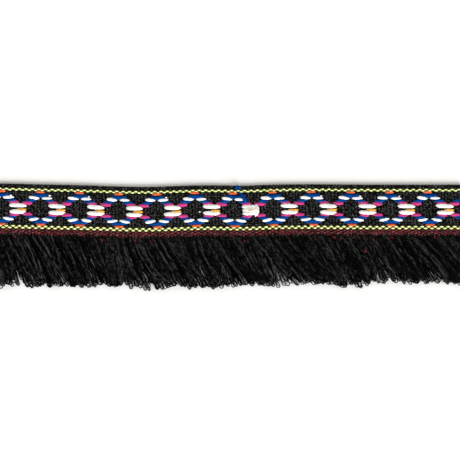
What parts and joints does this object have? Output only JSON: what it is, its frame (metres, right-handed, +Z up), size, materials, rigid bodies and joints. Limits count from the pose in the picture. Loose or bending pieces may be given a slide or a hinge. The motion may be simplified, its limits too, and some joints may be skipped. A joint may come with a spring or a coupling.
{
  "type": "brush fringe trim",
  "caption": "Cut length of woven brush fringe trim: a patterned black tape with neon edge lines, a maroon heading and a leaning fringe of uncut yarn loops.",
  "frame": {"origin": "middle of the whole trim's box, on the surface it lies on", "axes": "+X along the trim, -Y from the tape towards the fringe's tips, +Z up out of the face"},
  "size_m": [0.204, 0.039, 0.0022],
  "materials": {
    "jacquard_weave": "matte black woven ground with coloured floats and neon edge lines",
    "maroon_warp": "matte maroon plain weave",
    "fringe_yarn": "soft black plied yarn with a faint sheen"
  },
  "bodies": {
    "root": {"jacquard_tape": "jacquard_weave", "maroon_heading": "maroon_warp", "looped_fringe": "fringe_yarn"}
  },
  "joints": []
}
